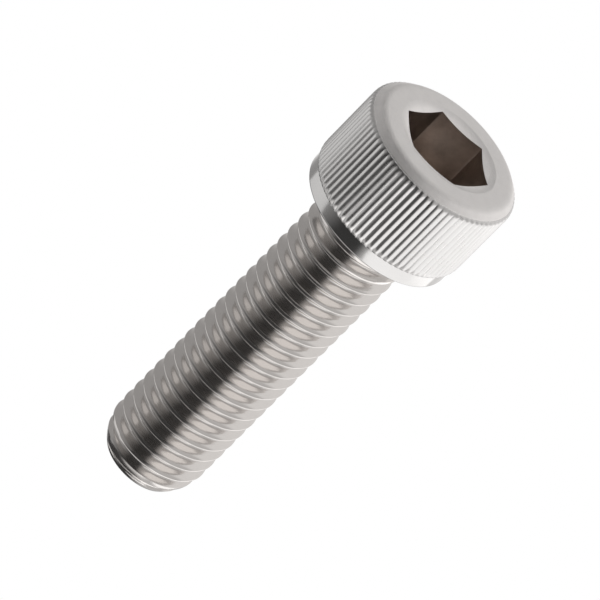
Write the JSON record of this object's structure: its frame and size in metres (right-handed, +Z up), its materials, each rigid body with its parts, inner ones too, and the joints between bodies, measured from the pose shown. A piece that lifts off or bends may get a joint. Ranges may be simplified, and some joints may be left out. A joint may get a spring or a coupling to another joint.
{
  "type": "hexagon socket head cap screw",
  "caption": "Cap screw with a straight-knurled cylindrical head, a countersunk hexagon socket and a full-length right-hand thread, lying on its side.",
  "frame": {"origin": "on the supporting surface, under the middle of the screw's length", "axes": "+X along the screw towards its head, +Z up; the screw's own axis rises about 5 degrees towards the head, as it lies"},
  "size_m": [0.0454, 0.0158, 0.0164],
  "materials": {
    "steel": "turned and rolled stainless steel, satin, with a matte flat top"
  },
  "bodies": {
    "root": {"cap_screw": "steel"}
  },
  "joints": []
}
